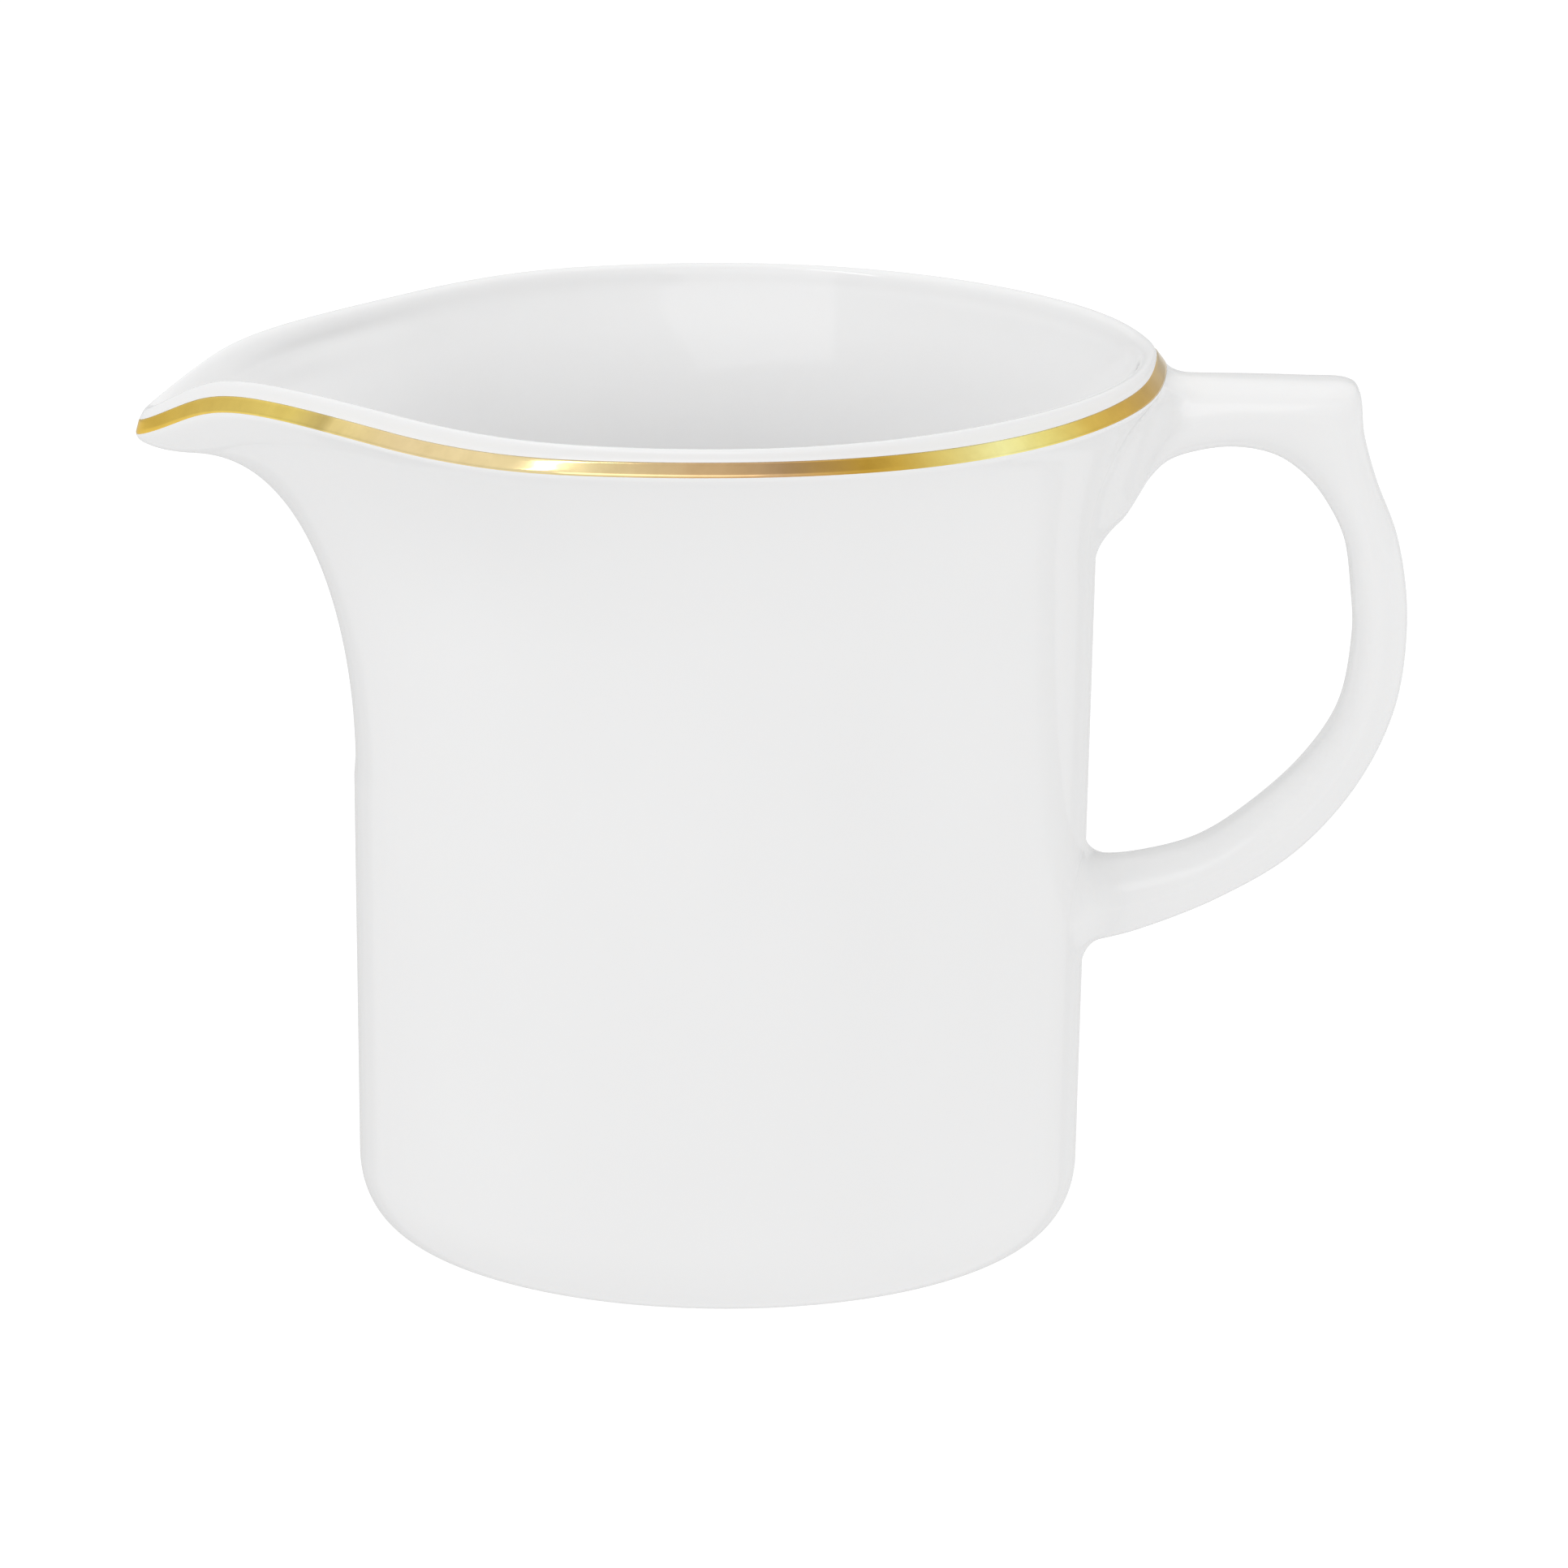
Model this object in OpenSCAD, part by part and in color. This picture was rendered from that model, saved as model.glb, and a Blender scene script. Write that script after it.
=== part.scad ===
// Porcelain cream jug: a cast body with a beaked spout, an applied loop handle
// with a flat thumb shelf, and a fine gold line round the rim.
// The jug stands on z = 0, centred on the foot. The spout points to -X, the handle to +X.

/* [Body] */
// Height of the rim at the sides
rim_h = 82.15; // [78:0.05:86]
// Outer radius of the wall just above the rounded foot corner
wall_r = 33.4; // [32.5:0.1:34]
// Outer radius of the wall where the rim starts to flare
neck_r = 34.15; // [33.6:0.05:35]
// Radius of the arc that flares the wall out to the rim
flare_rho = 26; // [25:0.5:28]
// Wall thickness
wall_t = 2.4; // [2:0.1:2.8]
// Floor thickness
floor_t = 2.8; // [2.4:0.1:3.6]
// Extra height of the rim on the handle's half
rim_rise = 0.8; // [0:0.05:1.2]
// Further kick of the rim right above the handle
rim_kick = 0.7; // [0:0.05:1]

/* [Foot] */
// Outer radius of the foot ring
foot_r = 28.9; // [27:0.1:29.5]
// Width of the foot ring
foot_w = 3.4; // [2.5:0.1:5]
// Depth of the recess under the floor
recess_h = 1.6; // [1.2:0.1:2]
// Height of the rounded corner between foot and wall
corner_h = 6.5; // [5:0.5:9]

/* [Spout] */
// Distance from the jug's axis to the tip of the spout
spout_reach = 53.85; // [51:0.05:56]
// How far the tip hangs below the rim
tip_drop = 5.6; // [4:0.1:7]
// Angle from the spout's axis at which its sides leave the round rim
spout_angle = 42; // [38:1:46]

/* [Handle] */
// Distance from the jug's axis to the back of the handle
handle_reach = 62.8; // [61:0.1:65]
// Width of the handle across the jug
handle_w = 9.6; // [8:0.2:12]
// Size of the slip fillets where the handle is stuck on
slip_size = 2; // [1.2:0.1:2.6]

/* [Gilding] */
// Thickness of the gold line, drawn thicker than the real film
gold_t = 0.15; // [0.1:0.05:0.3]

/* [Hidden] */

glaze_white = [0.93, 0.93, 0.93];
biscuit_white = [0.86, 0.85, 0.82];
line_gold = [0.83, 0.66, 0.22];

sides = 72;            // points round the body
fit_gap = 0.06;        // groove clearance that the flats of the body's facets take up
foot_edge = 0.4;       // bevel at the foot ring's outer edge
neck_z = rim_h - 19.35;     // where the flare starts
shoulder_z = rim_h - 2.25;  // widest level of the rim, under the gold line
spout_z = 44;               // where the spout starts to leave the round wall
floor_z = recess_h + floor_t;
corner_r0 = foot_r - 0.5;   // radius at which the corner's curve meets the table plane
shoulder_r = flare_r(shoulder_z);
crest_r = shoulder_r - 1.6; // radius of the top of the lip

function mix(a, b, t) = a + (b - a) * t;
function bell(a, centre, width) = exp(-pow((a - centre) / width, 2));
function bezier(p, t) =
    pow(1 - t, 3) * p[0] + 3 * t * pow(1 - t, 2) * p[1] + 3 * t * t * (1 - t) * p[2] + pow(t, 3) * p[3];

// Outer radius of the round body at height z, and the inner one wall_t inside it
function wall_at(z) = mix(wall_r, neck_r, (z - corner_h) / (neck_z - corner_h));
function flare_r(z, t = 0) =
    z < neck_z ? wall_at(z) - t
               : neck_r + flare_rho - sqrt(pow(flare_rho + t, 2) - pow(z - neck_z, 2));

// Shape of the rim seen from above: a circle drawn out into a pointed nose.
// a is the angle from the spout's axis, in degrees.
function soft(a, e) = sqrt(a * a + e * e);
function nose(a) = 1 / cos(max(0, spout_angle - soft(a, 2))) + 0.041 * bell(a, 0, 4) - 1;
function rim_push(a) = nose(a) / nose(0);
function low_push(a) = bell(a, 0, 20);

// Slow waves of the fired rim: fuller beside the spout, flatter either side of the handle
function rim_wave(a) = 0.65 * bell(abs(a), 64, 13) - 1.15 * bell(abs(a), 135, 30);
function rim_lift(a, kick = 1) =
    rim_rise * pow(sin(a / 2), 4) + kick * rim_kick * bell(abs(a), 180, 9) - 0.22;

// How strongly the waves and the pointed nose act at height z of the round profile
function rim_share(z) = pow(max(0, min(1, (z - neck_z) / (shoulder_z - neck_z))), 2);
function nose_share(z) = pow(max(0, min(1, (z - spout_z) / (shoulder_z - spout_z))), 3);

// One point of a body ring. A ring is [r, z, kx, kz, wander, kick]: its radius and height on the
// round side, its reach and height on the spout's axis, how far the gilder's line wanders, and
// its share of the kick at the handle.
function body_point(ring, a) =
    let (
        share = rim_share(ring[1]),
        pull = nose_share(ring[1]),
        push = mix(low_push(a), rim_push(a), pull),
        dip_width = 5.2 + 0.8 * max(0, rim_h - ring[1]),
        dip = mix(low_push(a), 1 / (1 + pow(a / dip_width, 2)), pull),
        r = ring[0] + share * rim_wave(a) + (ring[2] - ring[0]) * push,
        wander = ring[4] * pow(sin(2 * a), 2),
        lift = share * rim_lift(a, ring[5]),
        z = ring[1] + lift - wander + (ring[3] - ring[1] - share * rim_lift(0)) * dip
    )
    [-r * cos(a), -r * sin(a), z];

// Ring angles, closer together at the spout
function ring_angle(j) = let (u = 2 * j / sides - 1) 180 * u - 0.6 * 180 / PI * sin(180 * u);
function body_ring(ring) = [for (j = [0:sides - 1]) body_point(ring, ring_angle(j))];
function round_ring(r, z) = [r, z, r, z, 0, 0];

// Rounded corner between foot and wall, a superellipse quarter
function corner_ring(a, t = 0, bottom = 0) =
    let (
        wide = wall_at(corner_h) - t - (corner_r0 - 2 * t),
        high = corner_h + 0.6 * t - bottom
    )
    round_ring(corner_r0 - 2 * t + wide * pow(sin(a), 0.9), bottom + high * (1 - pow(cos(a), 0.9)));

// The spout's underside and the channel inside it, on the spout's axis
keel_x = [33.75, 34, 39.1, spout_reach - 5.35];
keel_z = [spout_z, spout_z + 14.5, rim_h - 9.85, rim_h - 9.8];
channel_x = [33.75 - wall_t, 34 - wall_t, 39.1 - 1.25 * wall_t, spout_reach - 6.8];
channel_z = [spout_z, spout_z + 14.8, rim_h - 7.45, rim_h - 7.2];
level_z = [spout_z, spout_z + 14.5, rim_h - 13.2, rim_h - 4.85];
tip_z = rim_h - tip_drop;

shoulder_ring = [shoulder_r, shoulder_z, spout_reach, tip_z - 2.6, 0.42, 1];
gold_top_ring = [crest_r + 0.45, rim_h - 1, spout_reach - 0.4, tip_z - 1.15, 0.42, 1.25];
outer_rings = concat(
    [round_ring(foot_r + fit_gap, recess_h), round_ring(foot_r + fit_gap, foot_edge)],
    [for (a = [20:14:90]) corner_ring(a)],
    [for (z = [12, 22, 33]) round_ring(wall_at(z), z)],
    [for (i = [0:9]) let (t = i / 9, z = bezier(level_z, t))
        [flare_r(z), z, bezier(keel_x, t), bezier(keel_z, t), 0, 1]],
    [
        [flare_r(rim_h - 3.9), rim_h - 3.9, spout_reach - 2.7, rim_h - 9.75, 0.1, 1],
        [flare_r(rim_h - 3), rim_h - 3, spout_reach - 0.8, rim_h - 9.3, 0.3, 1],
        shoulder_ring,
        gold_top_ring,
    ]
);
lip_rings = [
    [crest_r + 0.3, rim_h - 0.3, spout_reach - 0.85, tip_z - 0.3, 0, 0.6],
    [crest_r, rim_h, spout_reach - 1.45, tip_z, 0, 0.15],
    [crest_r - 0.65, rim_h - 0.2, spout_reach - 2.3, tip_z - 0.15, 0, 0],
    [crest_r - 1.05, rim_h - 0.8, spout_reach - 3.2, tip_z - 0.6, 0, 0],
    [crest_r - 1.2, rim_h - 1.6, spout_reach - 4.1, tip_z - 1.1, 0, 0],
];
inner_rings = concat(
    [[flare_r(rim_h - 3, wall_t), rim_h - 3, spout_reach - 5.2, tip_z - 1.5, 0, 0]],
    [for (i = [9:-1:0]) let (t = i / 9, z = bezier(level_z, t))
        [flare_r(z, wall_t), z, bezier(channel_x, t), bezier(channel_z, t), 0, 0]],
    [for (z = [30, 18]) round_ring(wall_at(z) - wall_t, z)],
    [for (a = [90:-15:15]) corner_ring(a, wall_t, floor_z)]
);

// Closed skin over a stack of rings, with a point at each end
module skin(rings, first, last) {
    n = len(rings[0]);
    count = len(rings);
    function at(i, j) = 1 + i * n + j % n;
    polyhedron(
        points = concat([first], [for (ring = rings) for (p = ring) p], [last]),
        faces = concat(
            [for (j = [0:n - 1]) [0, at(0, j), at(0, j + 1)]],
            [for (i = [0:count - 2]) for (j = [0:n - 1]) [at(i, j), at(i + 1, j + 1), at(i, j + 1)]],
            [for (i = [0:count - 2]) for (j = [0:n - 1]) [at(i, j), at(i + 1, j), at(i + 1, j + 1)]],
            [for (j = [0:n - 1]) [at(count - 1, j + 1), at(count - 1, j), 1 + count * n]]
        )
    );
}

// Closed tube over a loop of sections, for a fillet or a line that runs right round
module collar(sections) {
    n = len(sections[0]);
    count = len(sections);
    function at(i, j) = (i % count) * n + j % n;
    polyhedron(
        points = [for (section = sections) for (p = section) p],
        faces = concat(
            [for (i = [0:count - 1]) for (j = [0:n - 1]) [at(i, j), at(i + 1, j + 1), at(i, j + 1)]],
            [for (i = [0:count - 1]) for (j = [0:n - 1]) [at(i, j), at(i + 1, j), at(i + 1, j + 1)]]
        )
    );
}

module jug_body() {
    rings = [for (ring = concat(outer_rings, lip_rings, inner_rings)) body_ring(ring)];
    color(glaze_white) skin(rings, [0, 0, recess_h], [0, 0, floor_z]);
}

module foot_ring() {
    inner = foot_r - foot_w;
    color(biscuit_white)
        rotate_extrude($fn = 96)
            polygon([
                [inner, recess_h],
                [inner + foot_edge, 0],
                [foot_r - foot_edge, 0],
                [foot_r, foot_edge],
                [foot_r, recess_h],
            ]);
}

module gold_band() {
    lower = body_ring(shoulder_ring);
    upper = body_ring(gold_top_ring);
    // pushed outwards and up, square to the sloping band
    function lifted(p) =
        let (grow = 1 + gold_t / norm([p[0], p[1]]))
        [p[0] * grow, p[1] * grow, p[2] + gold_t / 2];
    color(line_gold)
        collar([for (j = [0:sides - 1]) [upper[j], lifted(upper[j]), lifted(lower[j]), lower[j]]]);
}

// Handle stations from the upper root round the loop to the lower root:
// [outer x, outer z, inner x, inner z, half width].
// The top of the loop hangs from the rim, so heights there are measured down from it.
function from_rim(z) = rim_h - z;
half_w = handle_w / 2;
back = handle_reach;
handle_path = [
    [40.3, from_rim(1.8), 34.5, from_rim(16.9), half_w * 0.94],
    [41.9, from_rim(1.7), 36.5, from_rim(15.1), half_w * 0.95],
    [43.8, from_rim(1.75), 38.1, from_rim(12), half_w * 0.96],
    [46, from_rim(1.8), 40.2, from_rim(9.65), half_w * 0.97],
    [49, from_rim(1.85), 43.3, from_rim(8.5), half_w * 0.98],
    [53, from_rim(1.95), 46.7, from_rim(8.15), half_w],
    [56.8, from_rim(2.1), 50.2, from_rim(8.85), half_w],
    [back - 4.75, from_rim(3.3), 52.9, from_rim(10.6), half_w],
    [back - 4.3, from_rim(7), 55.1, from_rim(13.2), half_w * 0.98],
    [back - 3, from_rim(11.5), back - 5.85, from_rim(17), half_w * 0.96],
    [back - 0.85, from_rim(17.2), back - 5.1, from_rim(22), half_w * 0.95],
    [back + 0.1, 57.6, back - 4.9, 55.6, half_w * 0.95],
    [back - 0.8, 49.5, back - 5.95, 49.4, half_w * 0.95],
    [back - 4.2, 42, back - 9, 44.4, half_w * 0.96],
    [back - 9.7, 35.6, back - 13.6, 39.9, half_w * 0.97],
    [back - 16.7, 31.2, back - 18.7, 36.4, half_w * 0.98],
    [back - 24, 28.1, back - 24.6, 34.8, half_w],
    [33.5, 26.7, 33.8, 34.6, half_w * 1.03],
];
steps = 3;             // sections between two stations
handle_sides = 20;     // points round one section

// Smooth curve through the stations
function pick(list, i) = list[max(0, min(len(list) - 1, i))];
function through(list, i, t) =
    let (a = pick(list, i - 1), b = pick(list, i), c = pick(list, i + 1), d = pick(list, i + 2))
    0.5 * (2 * b + (c - a) * t + (2 * a - 5 * b + 4 * c - d) * t * t + (3 * b - a - 3 * c + d) * t * t * t);
handle_stations = concat(
    [for (i = [0:len(handle_path) - 2]) for (k = [0:steps - 1]) through(handle_path, i, k / steps)],
    [handle_path[len(handle_path) - 1]]
);

// One rounded section with a soft ridge along each side
function swell(c) = sign(c) * pow(abs(c), 0.92);
function handle_section(s, scale = 1) =
    [for (j = [0:handle_sides - 1]) let (a = 360 * j / handle_sides, c = scale * swell(cos(a)) / 2)
        [
            (s[0] + s[2]) / 2 + (s[0] - s[2]) * c,
            -s[4] * scale * swell(sin(a)),
            (s[1] + s[3]) / 2 + (s[1] - s[3]) * c,
        ]];

// The body's outer surface on the handle side, at height z and y off the middle plane
function root_lift(y) = rim_lift(180 - atan(abs(y) / shoulder_r));
function round_z(y, z) = z - rim_share(z - rim_share(z) * root_lift(y)) * root_lift(y);
function root_x(y, z) = let (r = flare_r(min(round_z(y, z), shoulder_z))) sqrt(r * r - y * y);
function on_body(p) = [root_x(p[1], p[2]), p[1], p[2]];
function on_body_all(ring) = [for (p = ring) on_body(p)];
function middle(s) = on_body([0, 0, (s[1] + s[3]) / 2]);

first_station = handle_stations[0];
last_station = handle_stations[len(handle_stations) - 1];

module handle() {
    rings = concat(
        [on_body_all(handle_section(first_station, 0.5)), on_body_all(handle_section(first_station))],
        [for (i = [1:len(handle_stations) - 2]) handle_section(handle_stations[i])],
        [on_body_all(handle_section(last_station)), on_body_all(handle_section(last_station, 0.5))]
    );
    color(glaze_white) skin(rings, middle(first_station), middle(last_station));
}

// Concave fillet of dried slip round a handle root: it runs from the root's edge up the
// handle on one side and out over the body on the other
module slip_joint(root, next, top, turn) {
    edge = on_body_all(handle_section(root));
    along = handle_section(next);
    centre = middle(root);
    function reach(v, size) = size * v / norm(v);
    function spread(p) =
        let (out = p + reach(p - centre, slip_size))
        on_body([0, out[1], min(out[2], top)]);
    function fillet(p, q) =
        let (rise = reach(q - p, slip_size), run = spread(p) - p)
        [p, p + rise, for (a = [60, 30]) p + rise * (1 - cos(a)) + run * (1 - sin(a)), p + run];
    sections = [for (j = [0:handle_sides - 1]) fillet(edge[j], along[j])];
    color(glaze_white)
        collar(turn ? [for (i = [len(sections) - 1:-1:0]) sections[i]] : sections);
}

module upper_slip_joint() {
    slip_joint(first_station, handle_stations[2], shoulder_z + rim_lift(180) - 0.1, false);
}

module lower_slip_joint() {
    slip_joint(last_station, handle_stations[len(handle_stations) - 3], rim_h, true);
}

jug_body();
foot_ring();
handle();
upper_slip_joint();
lower_slip_joint();
gold_band();
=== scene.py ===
"""Porcelain cream jug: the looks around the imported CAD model.

The shape code repeats the formulas of the CAD source with many more points. Its lengths are millimetres and
its angles degrees from the spout's axis. A mesh is scaled to metres when it is made.
"""

import math

import bmesh
import bpy
import numpy as np
from mathutils import Matrix, Vector
from mathutils.bvhtree import BVHTree


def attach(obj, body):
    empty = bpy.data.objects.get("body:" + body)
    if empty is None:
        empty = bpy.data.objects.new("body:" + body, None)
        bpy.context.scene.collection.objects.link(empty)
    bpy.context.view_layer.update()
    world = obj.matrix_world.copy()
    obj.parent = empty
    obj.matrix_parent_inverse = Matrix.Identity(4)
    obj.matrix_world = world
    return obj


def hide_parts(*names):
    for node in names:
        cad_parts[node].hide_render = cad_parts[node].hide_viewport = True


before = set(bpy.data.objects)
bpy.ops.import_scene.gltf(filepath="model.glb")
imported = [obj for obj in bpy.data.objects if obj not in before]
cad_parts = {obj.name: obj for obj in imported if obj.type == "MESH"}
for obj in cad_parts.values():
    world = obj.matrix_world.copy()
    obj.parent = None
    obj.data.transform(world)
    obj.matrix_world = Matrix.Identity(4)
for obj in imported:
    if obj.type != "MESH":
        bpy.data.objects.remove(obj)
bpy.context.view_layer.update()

MM = 0.001

# ---------------------------------------------------------------- dimensions, named as in the CAD source
RIM_H = 82.15
WALL_R = 33.4
NECK_R = 34.15
FLARE_RHO = 26
WALL_T = 2.4
FLOOR_T = 2.8
RIM_RISE = 0.8
RIM_KICK = 0.7
FOOT_R = 28.9
FOOT_W = 3.4
RECESS_H = 1.6
CORNER_H = 6.5
SPOUT_REACH = 53.85
TIP_DROP = 5.6
SPOUT_ANGLE = 42
BACK = 62.8
HALF_W = 4.8
SLIP = 2.0
FIT_GAP = 0.06
FOOT_EDGE = 0.4

NECK_Z = RIM_H - 19.35
SHOULDER_Z = RIM_H - 2.25
SPOUT_Z = 44
FLOOR_Z = RECESS_H + FLOOR_T
CORNER_R0 = FOOT_R - 0.5
TIP_Z = RIM_H - TIP_DROP

# ---------------------------------------------------------------- dimensions of the looks alone
SIDES = 288  # points round the body
FOOT_SIDES = 192  # points round the foot ring
HANDLE_SIDES = 96  # points round a section of the handle
HANDLE_STEPS = 10  # sections between two stations of the handle
LIP_STEPS = 8  # rows between two knots of the lip
GROOVE = 0.42  # depth of the hollow under the lip, inside
TIP_FILL = 0.9  # rise of the channel's floor just behind the spout's tip
GOLD_FILM = 0.04  # height of the gold over the glaze
GOLD_BED = 0.06  # depth of the gold line's closed underside


# ---------------------------------------------------------------- body surface
def mix(a, b, t):
    return a + (b - a) * t


def bell(a, centre, width):
    """1 at the centre, falling to nothing either side of it."""
    return np.exp(-(((a - centre) / width) ** 2))


def bezier(p, t):
    return (1 - t) ** 3 * p[0] + 3 * t * (1 - t) ** 2 * p[1] + 3 * t * t * (1 - t) * p[2] + t**3 * p[3]


def wall_at(z):
    """Outer radius of the round body below the neck."""
    return mix(WALL_R, NECK_R, (z - CORNER_H) / (NECK_Z - CORNER_H))


def flare_r(z, t=0.0):
    """Outer radius of the round body, or the radius a wall's thickness t inside it."""
    if z < NECK_Z:
        return wall_at(z) - t
    return NECK_R + FLARE_RHO - math.sqrt((FLARE_RHO + t) ** 2 - (z - NECK_Z) ** 2)


SHOULDER_R = flare_r(SHOULDER_Z)
CREST_R = SHOULDER_R - 1.6


def nose(a):
    """Shape of the rim seen from above: a circle drawn out into a pointed nose."""
    turn = np.maximum(0, SPOUT_ANGLE - np.sqrt(a * a + 4))
    return 1 / np.cos(np.radians(turn)) + 0.041 * bell(a, 0, 4) - 1


def rim_push(a):
    """Share of the spout's reach at the rim."""
    return nose(a) / nose(np.zeros(1))


def low_push(a):
    """And low down, where the spout grows out of the wall."""
    return bell(a, 0, 20)


def rim_wave(a):
    """Slow waves of the fired rim: fuller beside the spout, flatter either side of the handle."""
    return 0.65 * bell(np.abs(a), 64, 13) - 1.15 * bell(np.abs(a), 135, 30)


def rim_lift(a, kick=1.0):
    """Rise of the rim towards the handle, with a kick right above it."""
    return RIM_RISE * np.sin(np.radians(a / 2)) ** 4 + kick * RIM_KICK * bell(np.abs(a), 180, 9) - 0.22


def rim_share(z):
    """How strongly the waves and the rise act at height z."""
    return min(1, max(0, (z - NECK_Z) / (SHOULDER_Z - NECK_Z))) ** 2


def nose_share(z):
    """How strongly the pointed nose acts at height z."""
    return min(1, max(0, (z - SPOUT_Z) / (SHOULDER_Z - SPOUT_Z))) ** 3


def groove(a, z):
    """Hollow under the lip bead inside, either side of the spout."""
    return GROOVE * bell(z, RIM_H - 2.1, 0.8) * bell(np.abs(a), 21, 14)


def tip_fill(a, z):
    """How much shallower the channel is just behind the spout's tip."""
    return TIP_FILL * bell(z, RIM_H - 3.4, 2.2) * bell(a, 0, 9)


def body_ring(ring, a):
    """Points of one ring at the angles a.

    A ring is [r, z, keel x, keel z, wander, kick, inside]: its radius and height on the round side, its
    reach and height on the spout's axis, how far the gilder's line wanders, its share of the kick at the
    handle, and 1 on the inside, which has the groove and the fill.
    """
    r0, z0, keel_x, keel_z, wander, kick, inside = ring
    share = rim_share(z0)
    pull = nose_share(z0)
    push = mix(low_push(a), rim_push(a), pull)
    dip_width = 5.2 + 0.8 * max(0, RIM_H - z0)
    dip = mix(low_push(a), 1 / (1 + (a / dip_width) ** 2), pull)
    r = r0 + share * rim_wave(a) + (keel_x - r0) * push + inside * groove(a, z0)
    z = z0 + share * rim_lift(a, kick) - wander * np.sin(np.radians(2 * a)) ** 2
    z = z + (keel_z - z0 - share * rim_lift(np.zeros(1))) * dip + inside * tip_fill(a, z0)
    return np.stack([-r * np.cos(np.radians(a)), -r * np.sin(np.radians(a)), z], axis=1)


def ring_angles(count):
    """Angles from -180 to 180, closer together at the spout."""
    u = 2 * np.arange(count) / count - 1
    return 180 * u - 0.6 * 180 / np.pi * np.sin(np.pi * u)


def round_ring(r, z):
    return [r, z, r, z, 0, 0, 0]


def corner_ring(a, t=0.0, bottom=0.0):
    """Ring of the rounded corner between foot and wall, a superellipse quarter."""
    wide = wall_at(CORNER_H) - t - (CORNER_R0 - 2 * t)
    high = CORNER_H + 0.6 * t - bottom
    s = math.sin(math.radians(a)) ** 0.9
    c = max(0.0, math.cos(math.radians(a))) ** 0.9
    return round_ring(CORNER_R0 - 2 * t + wide * s, bottom + high * (1 - c))


# the spout's underside and the channel inside it, on the spout's axis, as Bezier curves
KEEL_X = [33.75, 34, 39.1, SPOUT_REACH - 5.35]
KEEL_Z = [SPOUT_Z, SPOUT_Z + 14.5, RIM_H - 9.85, RIM_H - 9.8]
CHANNEL_X = [33.75 - WALL_T, 34 - WALL_T, 39.1 - 1.25 * WALL_T, SPOUT_REACH - 6.8]
CHANNEL_Z = [SPOUT_Z, SPOUT_Z + 14.8, RIM_H - 7.45, RIM_H - 7.2]
LEVEL_Z = [SPOUT_Z, SPOUT_Z + 14.5, RIM_H - 13.2, RIM_H - 4.85]


def outer_spout_ring(t):
    z = bezier(LEVEL_Z, t)
    return [flare_r(z), z, bezier(KEEL_X, t), bezier(KEEL_Z, t), 0, 1, 0]


def inner_spout_ring(t):
    z = bezier(LEVEL_Z, t)
    return [flare_r(z, WALL_T), z, bezier(CHANNEL_X, t), bezier(CHANNEL_Z, t), 0, 0, 1]


# rings: two under the gold line, its lower and upper edges, two over the lip and four down the inside
LIP_KNOTS = [
    [flare_r(RIM_H - 3.9), RIM_H - 3.9, SPOUT_REACH - 2.7, RIM_H - 9.75, 0.1, 1, 0],
    [flare_r(RIM_H - 3), RIM_H - 3, SPOUT_REACH - 0.8, RIM_H - 9.3, 0.3, 1, 0],
    [SHOULDER_R, SHOULDER_Z, SPOUT_REACH, TIP_Z - 2.6, 0.42, 1, 0],
    [CREST_R + 0.45, RIM_H - 1, SPOUT_REACH - 0.4, TIP_Z - 1.15, 0.42, 1.25, 0],
    [CREST_R + 0.3, RIM_H - 0.3, SPOUT_REACH - 0.85, TIP_Z - 0.3, 0, 0.6, 0],
    [CREST_R, RIM_H, SPOUT_REACH - 1.45, TIP_Z, 0, 0.15, 0],
    [CREST_R - 0.65, RIM_H - 0.2, SPOUT_REACH - 2.3, TIP_Z - 0.15, 0, 0, 1],
    [CREST_R - 1.05, RIM_H - 0.8, SPOUT_REACH - 3.2, TIP_Z - 0.6, 0, 0, 1],
    [CREST_R - 1.42, RIM_H - 1.7, SPOUT_REACH - 4.1, TIP_Z - 1.1, 0, 0, 1],
    [flare_r(RIM_H - 3.1, WALL_T) - 0.1, RIM_H - 3.1, SPOUT_REACH - 5.2, TIP_Z - 1.5, 0, 0, 1],
]
# rows at the gold line's lower and upper edges, between which the lip's outer face is flat
GOLD_LOW, GOLD_TOP = 3 * LIP_STEPS, 4 * LIP_STEPS
UNDER_GOLD = 22  # rows below the gold line, which flow into the spout's underside


def smooth_through(knots, steps):
    """Smooth curve through the knots from the second to the last but one, in so many steps between two."""
    p = np.array(knots, float)
    gap = np.linalg.norm(np.diff(p[:, :4], axis=0), axis=1) ** 0.5
    s = np.concatenate([[0], np.cumsum(gap)])
    slope = np.diff(p, axis=0) / gap[:, None]
    m = (slope[:-1] * gap[1:, None] + slope[1:] * gap[:-1, None]) / (gap[:-1] + gap[1:])[:, None]
    out = []
    for i in range(1, len(p) - 2):
        h = s[i + 1] - s[i]
        for k in range(steps):
            t = k / steps
            out.append(
                (2 * t**3 - 3 * t**2 + 1) * p[i]
                + (t**3 - 2 * t**2 + t) * h * m[i - 1]
                + (3 * t**2 - 2 * t**3) * p[i + 1]
                + (t**3 - t**2) * h * m[i]
            )
    out.append(p[-2])
    return out


def faired(rows, rounds, share=1.0):
    """The rows evened out along the stack, each by its share. The two end rows stay."""
    rows = np.array(rows, float)
    share = np.broadcast_to(share, len(rows))[1:-1, None]
    for _ in range(rounds):
        rows[1:-1] += share * (rows[:-2] + rows[2:] - 2 * rows[1:-1]) / 4
    return rows


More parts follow.
